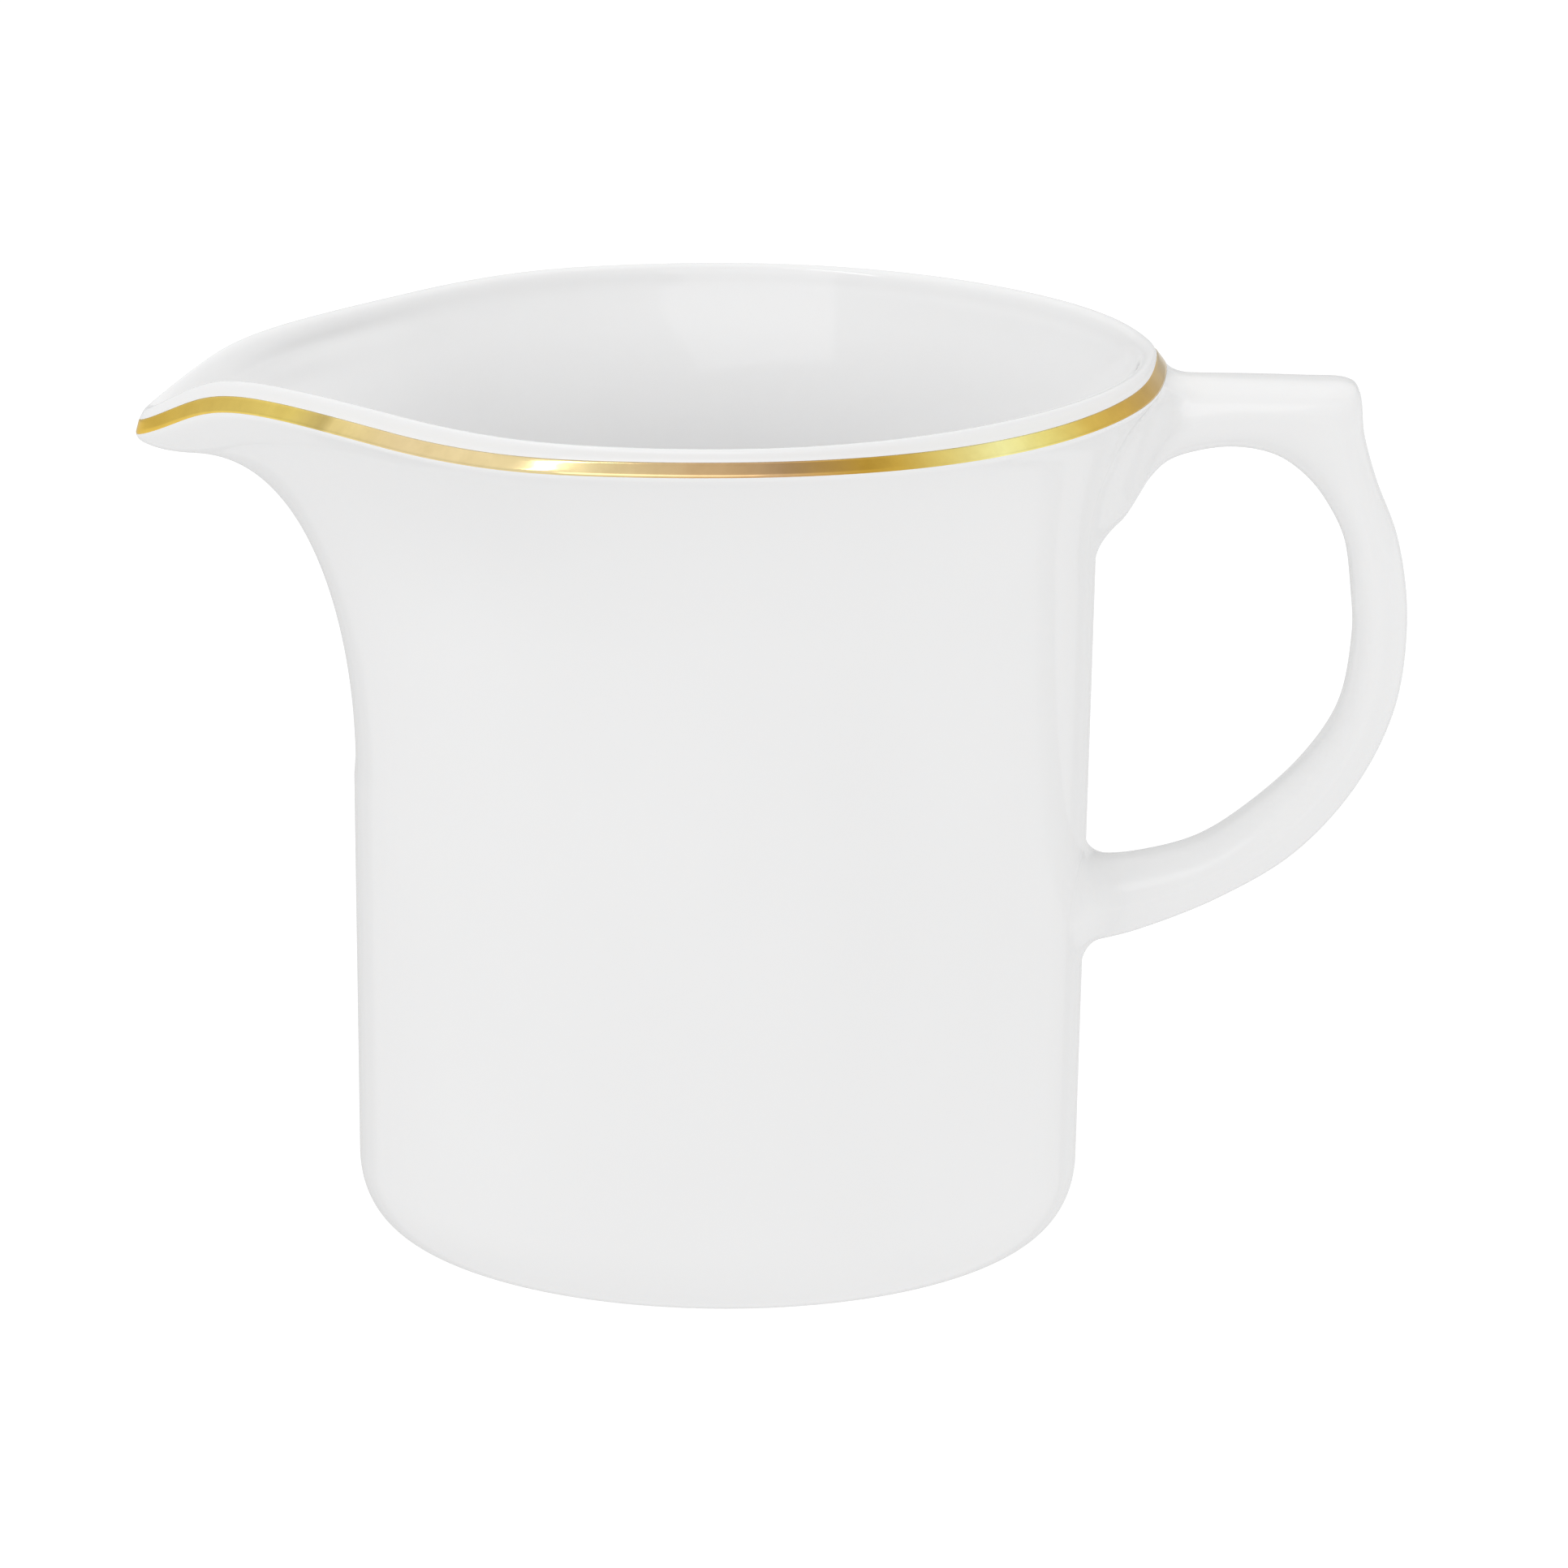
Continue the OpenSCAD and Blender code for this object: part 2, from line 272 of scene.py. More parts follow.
def lip_rows():
    """Rows from the top of the spout's underside, over the lip and down to the top of the channel."""
    knots = [outer_spout_ring(0.95), outer_spout_ring(1)] + LIP_KNOTS
    knots += [inner_spout_ring(1), inner_spout_ring(0.95)]
    rows = np.array(smooth_through(knots, LIP_STEPS))
    under = np.arange(UNDER_GOLD)
    rows[under] = faired(rows[under], 90, np.clip(under / LIP_STEPS, 0, 1) ** 2)
    rows = faired(rows, 5)
    rows[GOLD_LOW : GOLD_TOP + 1] = np.linspace(rows[GOLD_LOW], rows[GOLD_TOP], LIP_STEPS + 1)
    return faired(rows, 2)


LIP_ROWS = lip_rows()


# ---------------------------------------------------------------- mesh helpers
def make_piece(name, points, faces, node):
    """A smooth piece on the root body that stands for one CAD node."""
    mesh = bpy.data.meshes.new(name)
    mesh.from_pydata((np.asarray(points) * MM).tolist(), [], faces)
    mesh.validate()
    work = bmesh.new()
    work.from_mesh(mesh)
    bmesh.ops.recalc_face_normals(work, faces=work.faces)
    work.to_mesh(mesh)
    work.free()
    mesh.polygons.foreach_set("use_smooth", [True] * len(mesh.polygons))
    mesh.update()
    piece = bpy.data.objects.new(name, mesh)
    bpy.context.scene.collection.objects.link(piece)
    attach(piece, "root")
    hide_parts(node)
    return piece


def grid_faces(rows, cols, close_rows=False):
    """Quads between rows of points that each run right round. The last row may join the first."""
    faces = []
    for i in range(rows if close_rows else rows - 1):
        k = (i + 1) % rows
        for j in range(cols):
            n = (j + 1) % cols
            faces.append([i * cols + j, k * cols + j, k * cols + n, i * cols + n])
    return faces


def skin(rings, first, last):
    """Closed skin over a stack of rings, with a point at each end."""
    count = len(rings)
    cols = len(rings[0])
    points = np.concatenate([np.concatenate(rings), [first], [last]])
    faces = grid_faces(count, cols)
    a = count * cols
    for j in range(cols):
        n = (j + 1) % cols
        faces.append([a, j, n])
        faces.append([a + 1, (count - 1) * cols + n, (count - 1) * cols + j])
    return points, faces


# ---------------------------------------------------------------- jug body
def body_stack():
    """Rings of the body: from the recess under the floor, up the outside, over the lip, down the inside."""
    stack = [round_ring(FOOT_R * k / 8, RECESS_H) for k in range(1, 8)]
    stack += [round_ring(FOOT_R + FIT_GAP, RECESS_H), round_ring(FOOT_R + FIT_GAP, FOOT_EDGE)]
    stack += [corner_ring(a) for a in np.linspace(20, 90, 26)]
    stack += [round_ring(wall_at(z), z) for z in np.linspace(CORNER_H, SPOUT_Z, 22)[1:-1]]
    stack += [outer_spout_ring(t) for t in np.linspace(0, 1, 60)[:-1]]
    stack += list(LIP_ROWS)
    stack += [inner_spout_ring(t) for t in np.linspace(1, 0, 50)[1:]]
    stack += [round_ring(wall_at(z) - WALL_T, z) for z in np.linspace(SPOUT_Z, 12, 18)[1:]]
    stack += [corner_ring(a, WALL_T, FLOOR_Z) for a in np.linspace(90, 6, 24)]
    low = corner_ring(6, WALL_T, FLOOR_Z)
    stack += [round_ring(low[0] * k / 8, FLOOR_Z) for k in range(7, 0, -1)]
    return stack


def body_surface():
    """Points and faces of the body, in millimetres."""
    angles = ring_angles(SIDES)
    rings = [body_ring(ring, angles) for ring in body_stack()]
    return skin(rings, [0, 0, RECESS_H], [0, 0, FLOOR_Z])


def build_body():
    points, faces = body_surface()
    return make_piece("jug_body_glazed", points, faces, "jug_body")


# ---------------------------------------------------------------- gold line
def build_gold():
    """A film over the lip's flat outer face, feathered at both edges and closed under the glaze."""
    angles = ring_angles(SIDES * 2)
    band = np.array([body_ring(ring, angles) for ring in LIP_ROWS[GOLD_LOW : GOLD_TOP + 1]])
    along = np.roll(band, -1, axis=1) - np.roll(band, 1, axis=1)
    up = np.gradient(band, axis=0)
    normal = np.cross(up, along)
    normal /= np.linalg.norm(normal, axis=2)[:, :, None]
    normal *= np.sign((normal * band).sum(2).mean())
    share = np.linspace(-1, 1, len(band))[:, None, None]
    top = band + normal * GOLD_FILM * (1 - share**8)
    under = band - normal * GOLD_BED
    loop = np.concatenate([top, under[::-1]])
    faces = grid_faces(len(loop), len(angles), close_rows=True)
    return make_piece("gold_line", loop.reshape(-1, 3), faces, "gold_band")


# ---------------------------------------------------------------- foot ring
def rounded_edge(r, wide, high):
    """A rounded edge from the wall of the ring at radius r down to the table, in 7 points."""
    t = np.linspace(0, np.pi / 2, 7)
    return [(r + wide * (1 - math.cos(a)), high * (1 - math.sin(a))) for a in t]


def build_foot():
    inner = FOOT_R - FOOT_W
    sunk = 0.2  # into the body
    profile = [(inner - 0.25, RECESS_H + sunk), (inner, RECESS_H - 0.25)]
    profile += rounded_edge(inner, 0.55, 0.5)
    profile += rounded_edge(FOOT_R, -0.45, FOOT_EDGE)[::-1]
    profile += [(FOOT_R, RECESS_H + sunk)]
    angles = np.linspace(0, 2 * np.pi, FOOT_SIDES, endpoint=False)
    across, along = np.cos(angles), np.sin(angles)
    rings = [np.stack([r * across, r * along, np.full(FOOT_SIDES, z)], 1) for r, z in profile]
    faces = grid_faces(len(rings), FOOT_SIDES, close_rows=True)
    return make_piece("foot_ring_biscuit", np.concatenate(rings), faces, "foot_ring")


# ---------------------------------------------------------------- handle
def from_rim(z):
    return RIM_H - z


# stations from the upper root round the loop to the lower root:
# outer x and z, inner x and z, and the share of the half width
HANDLE_PATH = [
    [40.3, from_rim(1.8), 34.5, from_rim(16.9), 0.94],
    [41.9, from_rim(1.7), 36.5, from_rim(15.1), 0.95],
    [43.8, from_rim(1.75), 38.1, from_rim(12), 0.96],
    [46, from_rim(1.8), 40.2, from_rim(9.65), 0.97],
    [49, from_rim(1.85), 43.3, from_rim(8.5), 0.98],
    [53, from_rim(1.95), 46.7, from_rim(8.15), 1],
    [56.8, from_rim(2.1), 50.2, from_rim(8.85), 1],
    [BACK - 4.75, from_rim(3.3), 52.9, from_rim(10.6), 1],
    [BACK - 4.3, from_rim(7), 55.1, from_rim(13.2), 0.98],
    [BACK - 3, from_rim(11.5), BACK - 5.85, from_rim(17), 0.96],
    [BACK - 0.85, from_rim(17.2), BACK - 5.1, from_rim(22), 0.95],
    [BACK + 0.1, 57.6, BACK - 4.9, 55.6, 0.95],
    [BACK - 0.8, 49.5, BACK - 5.95, 49.4, 0.95],
    [BACK - 4.2, 42, BACK - 9, 44.4, 0.96],
    [BACK - 9.7, 35.6, BACK - 13.6, 39.9, 0.97],
    [BACK - 16.7, 31.2, BACK - 18.7, 36.4, 0.98],
    [BACK - 24, 28.1, BACK - 24.6, 34.8, 1],
    [33.5, 26.7, 33.8, 34.6, 1.03],
]
# place of the side ridge at some heights: from -1, the inner edge, to 1, the outer edge
RIDGE_PLACE = [(38, -0.02), (50, -0.12), (64, -0.15), (74, 0.16)]
RIDGE_TILT = 0.13  # how much the two faces beside the ridge lean back
RIDGE_SOFT = 0.10  # roundness of the ridge, on the scale of its place
RIDGE_BEAD = 0.06  # height of the fine line along the ridge of the lower arm


def handle_stations():
    """Smooth curve through the stations of the handle."""
    path = np.array(HANDLE_PATH, float)
    path[:, 4] *= HALF_W
    last = len(path) - 1
    out = []
    for i in range(last):
        a, b, c, d = (path[min(last, max(0, i + k))] for k in (-1, 0, 1, 2))
        for k in range(HANDLE_STEPS):
            t = k / HANDLE_STEPS
            bend = (2 * a - 5 * b + 4 * c - d) * t * t + (3 * b - a - 3 * c + d) * t**3
            out.append(0.5 * (2 * b + (c - a) * t + bend))
    out.append(path[last])
    return np.array(out)


def swell(c):
    """Fills a sine or cosine out, for a section between an ellipse and a rectangle."""
    return np.sign(c) * np.abs(c) ** 0.72


def ease(t):
    """Smooth step from 0 to 1."""
    t = min(1.0, max(0.0, t))
    return t * t * (3 - 2 * t)


def crowded(ridge, thick):
    """Angles round a section, from the outer edge, with most of them near the ridge on each side."""
    fine = np.linspace(0, np.pi, 1201)
    near = bell(swell(np.cos(fine)) * thick, ridge * thick, 0.45)
    total = np.concatenate([[0], np.cumsum(1 + 4 * (near[1:] + near[:-1]) / 2)])
    half = np.interp(np.linspace(0, total[-1], HANDLE_SIDES // 2 + 1), total, fine)
    return np.concatenate([half[:-1], 2 * np.pi - half[:0:-1]])


def handle_section(s, scale=1.0):
    """One section: rounded edges, and two nearly flat faces on each side that meet in a soft ridge."""
    level = (s[1] + s[3]) / 2
    ridge = np.interp(level, *zip(*RIDGE_PLACE))
    low = ease((52 - level) / 14)
    thick = math.hypot(s[0] - s[2], s[1] - s[3]) / 2
    a = crowded(ridge, thick)
    c, w = swell(np.cos(a)), swell(np.sin(a))
    away = np.sqrt((c - ridge) ** 2 + RIDGE_SOFT**2) - RIDGE_SOFT
    bead = RIDGE_BEAD * low * ease(((s[0] + s[2]) / 2 - 35.5) / 3) * bell(c * thick, ridge * thick, 0.22)
    wide = s[4] * w * (1 - RIDGE_TILT * away) + np.sign(w) * bead
    return np.stack(
        [
            (s[0] + s[2]) / 2 + (s[0] - s[2]) * scale * c / 2,
            -scale * wide,
            (s[1] + s[3]) / 2 + (s[1] - s[3]) * scale * c / 2,
        ],
        axis=1,
    )


def body_tree():
    """The body's finished surface, for casting rays at it."""
    points, faces = body_surface()
    return BVHTree.FromPolygons([tuple(p) for p in points], faces)


BODY_TREE = body_tree()


def on_body(p, depth=0.0):
    """The point of the body's outer surface on the handle's side with the y and z of p."""
    hit = BODY_TREE.ray_cast(Vector((100, p[1], p[2])), Vector((-1, 0, 0)))[0]
    return np.array([hit.x - depth, p[1], p[2]])


def on_body_all(ring, depth=0.0):
    return np.array([on_body(p, depth) for p in ring])


STATIONS = handle_stations()


def build_handle():
    """The loop, with both ends run a little way into the wall."""
    first, last = STATIONS[0], STATIONS[-1]
    sunk = 1.0
    rings = [on_body_all(handle_section(first, 0.5), sunk), on_body_all(handle_section(first), sunk)]
    rings += [on_body_all(handle_section(first))]
    rings += [handle_section(s) for s in STATIONS[1:-1]]
    rings += [on_body_all(handle_section(last)), on_body_all(handle_section(last), sunk)]
    rings += [on_body_all(handle_section(last, 0.5), sunk)]
    start = on_body(np.array([0, 0, (first[1] + first[3]) / 2]), sunk)
    end = on_body(np.array([0, 0, (last[1] + last[3]) / 2]), sunk)
    points, faces = skin(rings, start, end)
    return make_piece("handle_glazed", points, faces, "handle")


def walk(line, length):
    """The point at a length along a line of points."""
    step = np.linalg.norm(np.diff(line, axis=0), axis=1)
    far = np.concatenate([[0], np.cumsum(step)])
    return np.array([np.interp(length, far, line[:, k]) for k in range(3)])


def unit(v):
    return v / np.linalg.norm(v)


def wall_normal(p):
    side = on_body(p + [0, 0.3, 0]) - on_body(p - [0, 0.3, 0])
    up = on_body(p + [0, 0, 0.3]) - on_body(p - [0, 0, 0.3])
    return unit(np.cross(side, up))


# how far the slip's edges run on under the handle's and the wall's surfaces, and how deep
SLIP_HEM = [(0.2, 0.012), (0.4, 0.03), (0.7, 0.12)]
UPPER_CLIMB = 2.4  # how far the slip climbs along the handle above and below the upper root
LOWER_CLIMB = 2.0  # and the lower root
SIDE_CLIMB = 2.2  # how much further it climbs on the handle's sides
SIDE_SPREAD = 4.2  # and spreads over the wall beside the handle


def evened(values, rounds=24):
    """Values round a ring, each drawn towards its neighbours."""
    for _ in range(rounds):
        values = (np.roll(values, 1, axis=0) + 2 * values + np.roll(values, -1, axis=0)) / 4
    return values


def slip_aways(edge):
    """Directions in the wall, away from the handle, at the points of a root's edge."""
    round_edge = np.roll(edge, -2, axis=0) - np.roll(edge, 2, axis=0)
    aways = np.array([unit(np.cross(unit(t), wall_normal(p))) for t, p in zip(round_edge, edge)])
    outward = np.sign((aways * (edge - edge.mean(axis=0))).sum(axis=1))
    return aways * outward[:, None]


def slip_section(p, line, away, climb, reach, axis, centre, top):
    """One closed section: in under the handle's skin, down the hollow, out under the wall's, and back."""

    def up(far):
        return walk(line, climb + far)

    def out(far, depth=0.0):
        q = p + (reach + far) * away
        return on_body(np.array([0, q[1], min(q[2], top)]), depth)

    head, foot = up(0), out(0)
    down = unit(up(-0.25) - up(0.25))
    back = unit(out(-0.3) - out(0.3) + 1e-9)
    high_pull, low_pull = 0.6 * np.linalg.norm(head - p), 0.6 * np.linalg.norm(foot - p)
    hollow = [head, head + down * high_pull, foot + back * low_pull, foot]
    inward = unit(axis - head)
    section = [up(far) + inward * sink for far, sink in SLIP_HEM[::-1]]
    section += [bezier(hollow, t) for t in np.linspace(0, 1, 15)]
    section += [out(far, sink) for far, sink in SLIP_HEM]
    section += [p + unit(centre - p) * 0.6 - np.array([0.5, 0, 0])]
    return section


def build_slip(name, node, stations, top, climb):
    """Concave fillet of slip round a handle root, tangent to handle and wall, with feathered edges."""
    edge = on_body_all(handle_section(stations[0]))
    lines = np.array([edge] + [handle_section(s) for s in stations[1:30]])
    aways = slip_aways(edge)
    sideways = np.abs(aways[:, 1])
    upward = np.clip(0.5 + aways[:, 2], 0, 1)
    climbs = evened(climb * mix(0.7, 1, upward) + SIDE_CLIMB * sideways**2)
    reaches = evened(SLIP * mix(0.85, 1, upward) + SIDE_SPREAD * sideways**3)
    aways = evened(aways)
    axis = np.mean([walk(lines[:, j], climbs[j]) for j in range(HANDLE_SIDES)], axis=0)
    centre = edge.mean(axis=0)
    grid = np.array(
        [
            slip_section(p, lines[:, j], unit(aways[j]), climbs[j], reaches[j], axis, centre, top)
            for j, p in enumerate(edge)
        ]
    )
    faces = grid_faces(len(grid), grid.shape[1], close_rows=True)
    return make_piece(name, grid.reshape(-1, 3), faces, node)


# ---------------------------------------------------------------- materials
class Nodes:
    """Short names for building a node tree."""

    def __init__(self, tree):
        self.tree = tree
        tree.nodes.clear()

    def add(self, kind, **values):
        node = self.tree.nodes.new(kind)
        for key, value in values.items():
            setattr(node, key, value)
        return node

    def link(self, a, b):
        self.tree.links.new(a, b)

    def noise(self, vector, scale, detail=2.0, rough=0.5):
        node = self.add("ShaderNodeTexNoise")
        node.inputs["Scale"].default_value = scale
        node.inputs["Detail"].default_value = detail
        node.inputs["Roughness"].default_value = rough
        self.link(vector, node.inputs["Vector"])
        return node.outputs["Fac"]

    def ramp(self, factor, stops):
        node = self.add("ShaderNodeValToRGB")
        elements = node.color_ramp.elements
        while len(elements) < len(stops):
            elements.new(0.5)
        for element, (position, colour) in zip(elements, stops):
            element.position = position
            element.color = (*colour, 1)
        self.link(factor, node.inputs["Fac"])
        return node.outputs["Color"]

    def spread(self, factor, low, high, start=0.0, end=1.0, smooth=False):
        node = self.add("ShaderNodeMapRange")
        node.interpolation_type = "SMOOTHSTEP" if smooth else "LINEAR"
        node.inputs["From Min"].default_value = start
        node.inputs["From Max"].default_value = end
        node.inputs["To Min"].default_value = low
        node.inputs["To Max"].default_value = high
        self.link(factor, node.inputs["Value"])
        return node.outputs["Result"]

    def bump(self, height, distance, strength, before=None):
        node = self.add("ShaderNodeBump")
        node.inputs["Distance"].default_value = distance
        node.inputs["Strength"].default_value = strength
        self.link(height, node.inputs["Height"])
        if before is not None:
            self.link(before, node.inputs["Normal"])
        return node.outputs["Normal"]


def new_material(name):
    """A material with its nodes, its shader and the object's own coordinates, in metres."""
    material = bpy.data.materials.new(name)
    material.use_nodes = True
    nodes = Nodes(material.node_tree)
    shader = nodes.add("ShaderNodeBsdfPrincipled")
    output = nodes.add("ShaderNodeOutputMaterial")
    nodes.link(shader.outputs["BSDF"], output.inputs["Surface"])
    place = nodes.add("ShaderNodeTexCoord").outputs["Object"]
    return material, nodes, shader, place


def glaze_material():
    """White porcelain under a clear glaze that is slightly wavy and unevenly glossy."""
    material, nodes, shader, place = new_material("glazed_porcelain")
    tone = nodes.noise(place, 45, 3, 0.5)
    colour = nodes.ramp(tone, [(0.3, (0.934, 0.934, 0.934)), (0.7, (0.946, 0.946, 0.946))])
    nodes.link(colour, shader.inputs["Base Color"])
    gloss = nodes.noise(place, 160, 3, 0.6)
    nodes.link(nodes.spread(gloss, 0.04, 0.08, 0.3, 0.7), shader.inputs["Roughness"])
    wave = nodes.noise(place, 120, 2, 0.4)
    grain = nodes.noise(place, 900, 2, 0.5)
    peel = nodes.bump(wave, 0.00012, 0.10)
    nodes.link(nodes.bump(grain, 0.00001, 0.15, peel), shader.inputs["Normal"])
    shader.inputs["IOR"].default_value = 1.5
    shader.inputs["Subsurface Weight"].default_value = 0.12
    shader.inputs["Subsurface Radius"].default_value = (0.0012, 0.0011, 0.0010)
    return material


# tone of the fired gold round the rim, with painted reflection: its lighter and darker stretches stand in
# for studio lights and shade reflected in the gilding. Columns: angle from the spout, and linear colour
GOLD_TONES_AND_PAINTED_REFLECTIONS = [
    (0, (0.92, 0.61, 0.10)),
    (5, (0.92, 0.64, 0.13)),
    (12, (0.96, 0.71, 0.17)),
    (23, (0.97, 0.76, 0.20)),
    (26, (0.84, 0.65, 0.20)),
    (29.2, (0.70, 0.54, 0.19)),
    (31, (1.0, 0.80, 0.33)),
    (44, (1.0, 0.80, 0.44)),
    (72, (0.92, 0.76, 0.41)),
    (86, (0.78, 0.54, 0.28)),
    (97, (0.72, 0.47, 0.24)),
    (102, (0.70, 0.43, 0.135)),
    (108, (0.68, 0.41, 0.06)),
    (113, (0.70, 0.46, 0.08)),
    (120, (0.82, 0.66, 0.20)),
    (129, (1.0, 0.95, 0.42)),
    (137, (0.94, 0.82, 0.26)),
    (146, (0.76, 0.53, 0.105)),
    (156, (0.70, 0.44, 0.07)),
    (165, (0.68, 0.43, 0.09)),
    (173, (0.78, 0.56, 0.25)),
    (180, (0.84, 0.66, 0.37)),
]


def gold_material():
    """Burnished gold whose colour round the rim is partly its own tone and partly painted reflection:
    lighter and darker stretches stand in for studio lights and shade reflected in it. Both sides are alike.
    """
    material, nodes, shader, place = new_material("fired_gold")
    shader.inputs["Metallic"].default_value = 1.0
    split = nodes.add("ShaderNodeSeparateXYZ")
    nodes.link(place, split.inputs[0])
    side = nodes.add("ShaderNodeMath", operation="ABSOLUTE")
    nodes.link(split.outputs["Y"], side.inputs[0])
    turn = nodes.add("ShaderNodeMath", operation="ARCTAN2")
    nodes.link(side.outputs[0], turn.inputs[0])
    nodes.link(split.outputs["X"], turn.inputs[1])
    tone = nodes.spread(turn.outputs[0], 1.0, 0.0, 0.0, math.pi)
    # painted reflection: this ramp lightens and darkens the gold round the rim where studio reflections
    # fall, on top of its own tone
    around = nodes.ramp(tone, [(angle / 180, colour) for angle, colour in GOLD_TONES_AND_PAINTED_REFLECTIONS])
    cloud = nodes.ramp(nodes.noise(place, 350, 3, 0.6), [(0.3, (0.90, 0.88, 0.84)), (0.7, (1, 1, 1))])
    both = nodes.add("ShaderNodeMix", data_type="RGBA", blend_type="MULTIPLY")
    both.inputs["Factor"].default_value = 1.0
    nodes.link(around, both.inputs[6])
    nodes.link(cloud, both.inputs[7])
    nodes.link(both.outputs[2], shader.inputs["Base Color"])
    worn = nodes.noise(place, 500, 3, 0.6)
    nodes.link(nodes.spread(worn, 0.09, 0.17, 0.3, 0.7), shader.inputs["Roughness"])
    brush = nodes.noise(place, 1400, 2, 0.5)
    nodes.link(nodes.bump(brush, 0.00001, 0.15), shader.inputs["Normal"])
    return material


def biscuit_material():
    """Bare fired porcelain: dry, finely grained and a little darker."""
    material, nodes, shader, place = new_material("biscuit_porcelain")
    tone = nodes.noise(place, 180, 4, 0.6)
    colour = nodes.ramp(tone, [(0.3, (0.70, 0.67, 0.61)), (0.7, (0.81, 0.79, 0.74))])
    nodes.link(colour, shader.inputs["Base Color"])
    nodes.link(nodes.spread(tone, 0.7, 0.9), shader.inputs["Roughness"])
    grain = nodes.noise(place, 2500, 3, 0.6)
    nodes.link(nodes.bump(grain, 0.00005, 0.6), shader.inputs["Normal"])
    return material


# ---------------------------------------------------------------- studio
# brightness of the tent at heights from -1, straight down, to 1, straight up
LEVELS = [(-1, 1.19), (-0.6, 1.1), (-0.02, 1.01), (0.02, 0.82), (0.3, 0.86), (0.75, 1.11), (1, 1.11)]
# grey or brighter patches: direction, inner and outer angle, and brightness inside
PATCHES = [
    ((0.33, -0.27, 0.905), 6, 18, 0.78),
    ((0.05, -0.34, 0.94), 8, 24, 0.82),
    ((0, 1, -0.275), 34.5, 36, 0.86),
    ((0.35, 1, -0.29), 4, 18, 1.12),
    ((-0.1, -1, 0.35), 15, 60, 1.18),
    ((0.8, -0.1, 0.6), 10, 45, 0.92),
    ((1, 0.1, 0.15), 15, 60, 1.24),
    ((-1, 0, 0.15), 15, 57, 1.05),
]
STAGE_SIZE = 3.0  # metres from the jug to the edge of the floor
DOME_SIZE = 2.95  # and to the backdrop
JUG_MIDDLE = Vector((0, 0, 0.040))  # what the lamps and the camera are set round


def stage_piece(name, points, faces):
    """A piece of the studio, in metres, with the nodes and the output of its empty material."""
    mesh = bpy.data.meshes.new(name)
    mesh.from_pydata(points, [], faces)
    piece = bpy.data.objects.new(name, mesh)
    bpy.context.scene.collection.objects.link(piece)
    material = bpy.data.materials.new(name + "_paper")
    material.use_nodes = True
    mesh.materials.append(material)
    nodes = Nodes(material.node_tree)
    return piece, nodes, nodes.add("ShaderNodeOutputMaterial")


def build_floor():
    """White paper under the jug. It shows a faint shadow and throws no light back, which the tent does."""
    size = STAGE_SIZE
    corners = [(-size, -size, 0), (size, -size, 0), (size, size, 0), (-size, size, 0)]
    floor, nodes, output = stage_piece("floor", corners, [(0, 1, 2, 3)])
    floor.location.z = -0.0002  # clear of the foot
    paper = nodes.add("ShaderNodeBsdfDiffuse")
    paper.inputs["Color"].default_value = (0.2, 0.2, 0.2, 1)
    glow = nodes.add("ShaderNodeEmission")
    glow.inputs["Strength"].default_value = 0.9
    both = nodes.add("ShaderNodeAddShader")
    nodes.link(paper.outputs["BSDF"], both.inputs[0])
    nodes.link(glow.outputs["Emission"], both.inputs[1])
    nodes.link(both.outputs["Shader"], output.inputs["Surface"])
    floor.visible_glossy = False
    floor.visible_diffuse = False


def build_backdrop():
    """A white dome far behind everything, which only the camera sees."""
    angles = np.linspace(0, 2 * np.pi, 96, endpoint=False)
    rings = []
    for lift in np.radians(np.linspace(-10, 85, 20)):
        c, s = math.cos(lift), math.sin(lift)
        rings.append(np.stack([c * np.cos(angles), c * np.sin(angles), np.full(len(angles), s)], 1))
    points, faces = skin(rings, [0, 0, -0.18], [0, 0, 1])
    backdrop, nodes, output = stage_piece("backdrop", (points * DOME_SIZE).tolist(), faces)
    glow = nodes.add("ShaderNodeEmission")
    nodes.link(glow.outputs["Emission"], output.inputs["Surface"])
    backdrop.visible_diffuse = False
    backdrop.visible_glossy = False
    backdrop.visible_transmission = False
    backdrop.visible_shadow = False


def build_world():
    """A white tent: brighter overhead than at the horizon, with a few soft grey or brighter patches."""
    world = bpy.data.worlds.new("studio")
    bpy.context.scene.world = world
    world.use_nodes = True
    nodes = Nodes(world.node_tree)
    output = nodes.add("ShaderNodeOutputWorld")
    background = nodes.add("ShaderNodeBackground")
    direction = nodes.add("ShaderNodeTexCoord").outputs["Generated"]
    split = nodes.add("ShaderNodeSeparateXYZ")
    nodes.link(direction, split.inputs[0])
    height = nodes.spread(split.outputs["Z"], 0.0, 1.0, -1.0, 1.0)
    stops = [((z + 1) / 2, (level / 2,) * 3) for z, level in LEVELS]
    level = nodes.spread(nodes.ramp(height, stops), 0.0, 2.0)
    for towards, inner, outer, factor in PATCHES:
        dot = nodes.add("ShaderNodeVectorMath", operation="DOT_PRODUCT")
        nodes.link(direction, dot.inputs[0])
        dot.inputs[1].default_value = Vector(towards).normalized()
        edge = (math.cos(math.radians(outer)), math.cos(math.radians(inner)))
        patch = nodes.spread(dot.outputs["Value"], 1.0, factor, *edge, smooth=True)
        times = nodes.add("ShaderNodeMath", operation="MULTIPLY")
        nodes.link(level, times.inputs[0])
        nodes.link(patch, times.inputs[1])
        level = times.outputs[0]
    nodes.link(level, background.inputs["Strength"])
    nodes.link(background.outputs["Background"], output.inputs["Surface"])


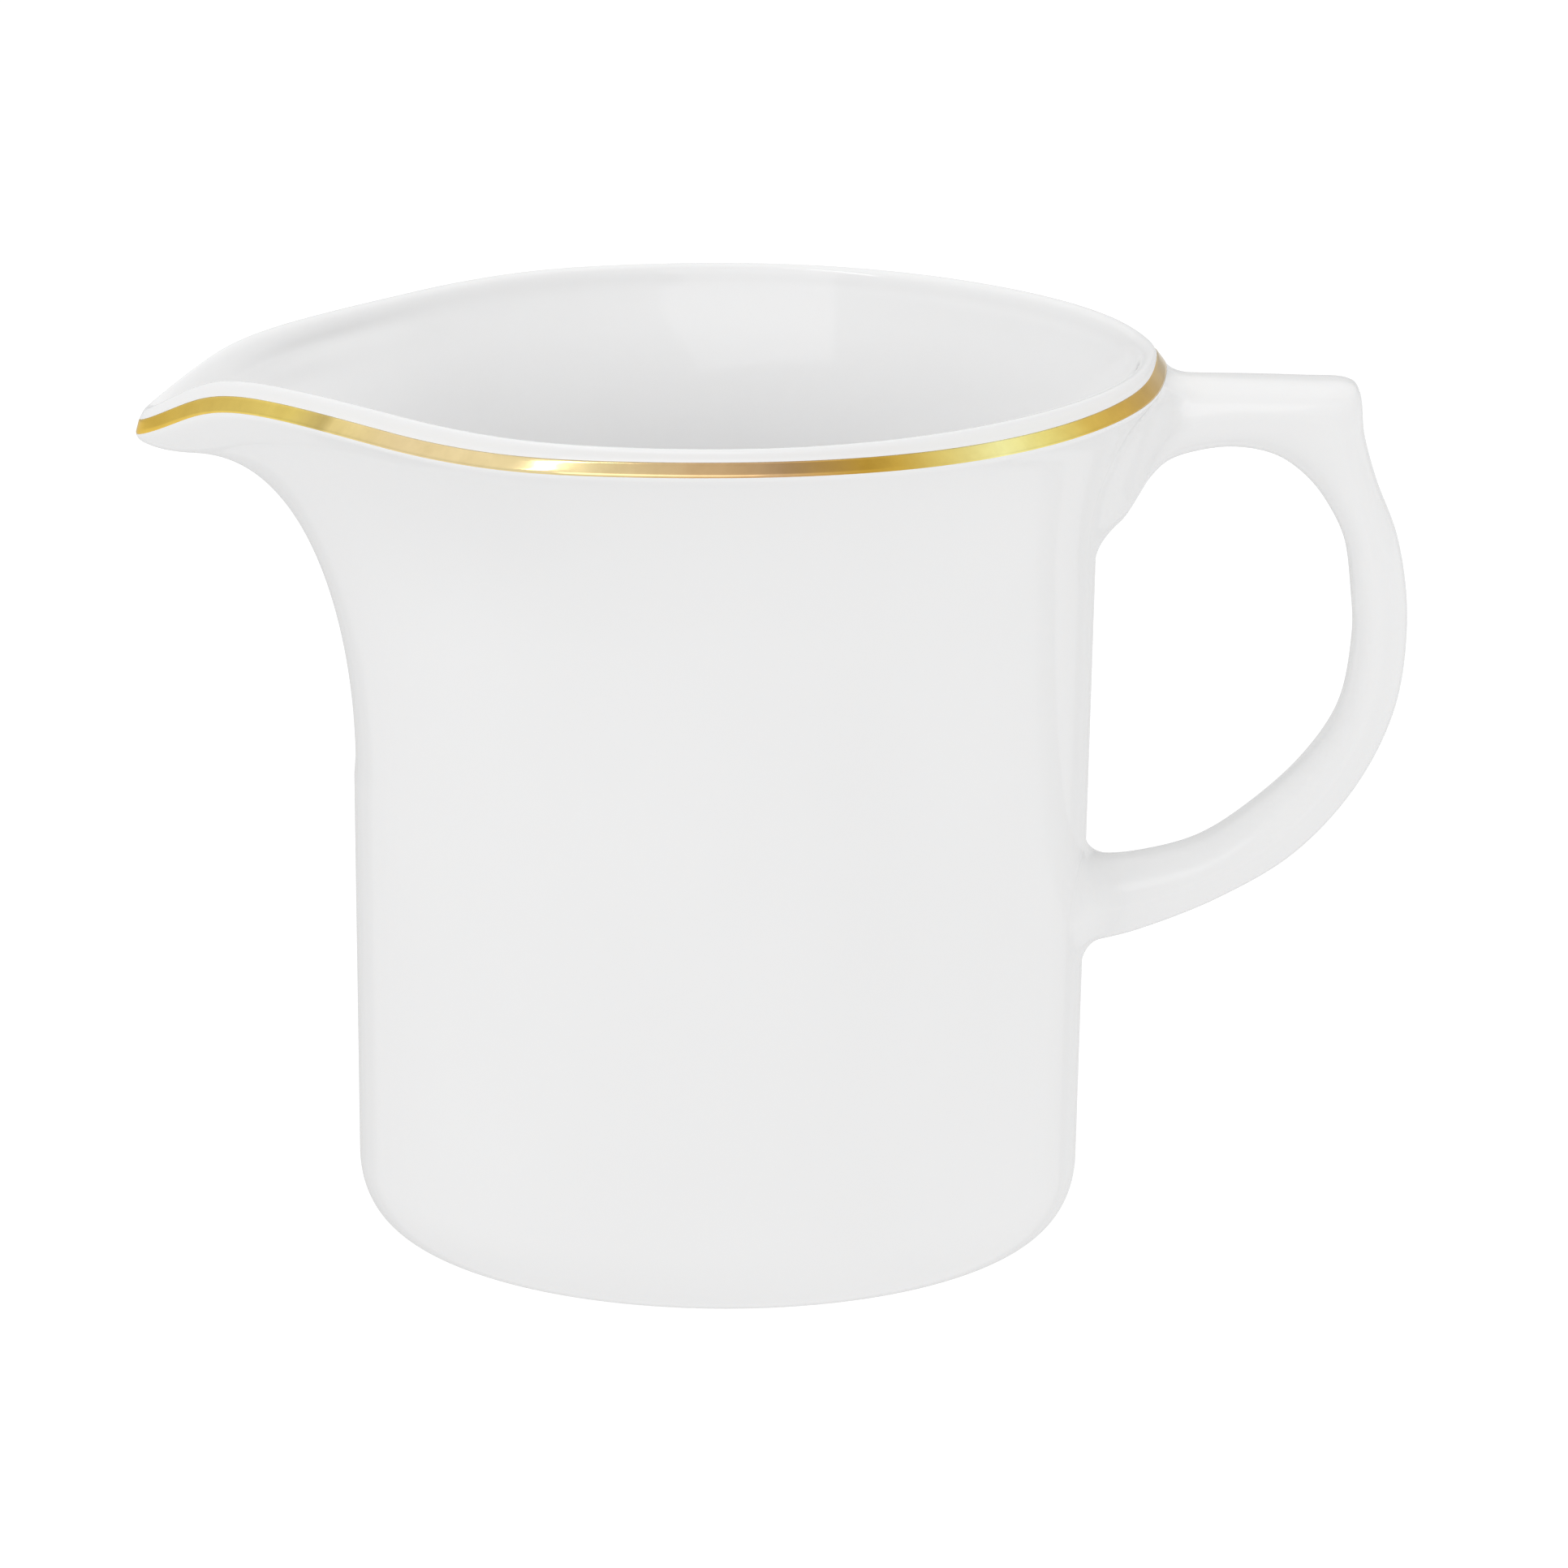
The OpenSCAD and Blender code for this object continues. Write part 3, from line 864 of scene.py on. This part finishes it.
def build_light(name, direction, distance, size, power, diffuse=True, glossy=True):
    """A soft panel at a direction from the jug, facing it. Size is (width, height) in metres."""
    data = bpy.data.lights.new(name, "AREA")
    data.shape = "RECTANGLE"
    data.size, data.size_y = size
    data.energy = power
    lamp = bpy.data.objects.new(name, data)
    bpy.context.scene.collection.objects.link(lamp)
    towards = Vector(direction).normalized()
    lamp.location = JUG_MIDDLE + towards * distance
    lamp.visible_camera = False
    lamp.visible_diffuse = diffuse
    lamp.visible_glossy = glossy
    lamp.rotation_mode = "QUATERNION"
    lamp.rotation_quaternion = towards.to_track_quat("Z", "Y")


def build_camera():
    """The photograph's view: square to the jug's long side, from a little above."""
    elevation = math.radians(15.4)
    distance = 0.85
    data = bpy.data.cameras.new("camera")
    data.sensor_width = 36
    data.lens = 211.1
    data.clip_start, data.clip_end = 0.05, 20
    camera = bpy.data.objects.new("camera", data)
    bpy.context.scene.collection.objects.link(camera)
    camera.location = JUG_MIDDLE + distance * Vector((0, -math.cos(elevation), math.sin(elevation)))
    target = JUG_MIDDLE + Vector((0.0058, 0, 0.00129))
    roll = math.radians(0.64)
    aim = (target - camera.location).to_track_quat("-Z", "Y").to_matrix()
    camera.rotation_mode = "QUATERNION"
    camera.rotation_quaternion = (aim @ Matrix.Rotation(roll, 3, "Z")).to_quaternion()
    bpy.context.scene.camera = camera


# ---------------------------------------------------------------- the scene
UNDER_LINE = SHOULDER_Z + rim_lift(180.0) - 0.1  # height just under the gold line at the handle

glazed = [
    build_body(),
    build_handle(),
    build_slip("upper_slip_fillet", "upper_slip_joint", STATIONS, UNDER_LINE, UPPER_CLIMB),
    build_slip("lower_slip_fillet", "lower_slip_joint", STATIONS[::-1], RIM_H, LOWER_CLIMB),
]
glaze = glaze_material()
for piece in glazed:
    piece.data.materials.append(glaze)
build_gold().data.materials.append(gold_material())
build_foot().data.materials.append(biscuit_material())
build_floor()
build_backdrop()
build_world()
build_light("key", (-0.2, -0.68, 0.70), 1.2, (0.9, 0.55), 1.1)
build_light("side_fill", (0.9, -0.45, 0.3), 1.2, (0.8, 0.8), 0.18)
build_light("top_left", (-0.62, 0.05, 0.78), 1.1, (0.6, 0.6), 1.05, glossy=False)
build_light("strip", (-0.400, -0.193, 0.877), 1.0, (0.055, 0.5), 0.65, diffuse=False)
build_camera()
bpy.context.scene.view_settings.view_transform = "Standard"
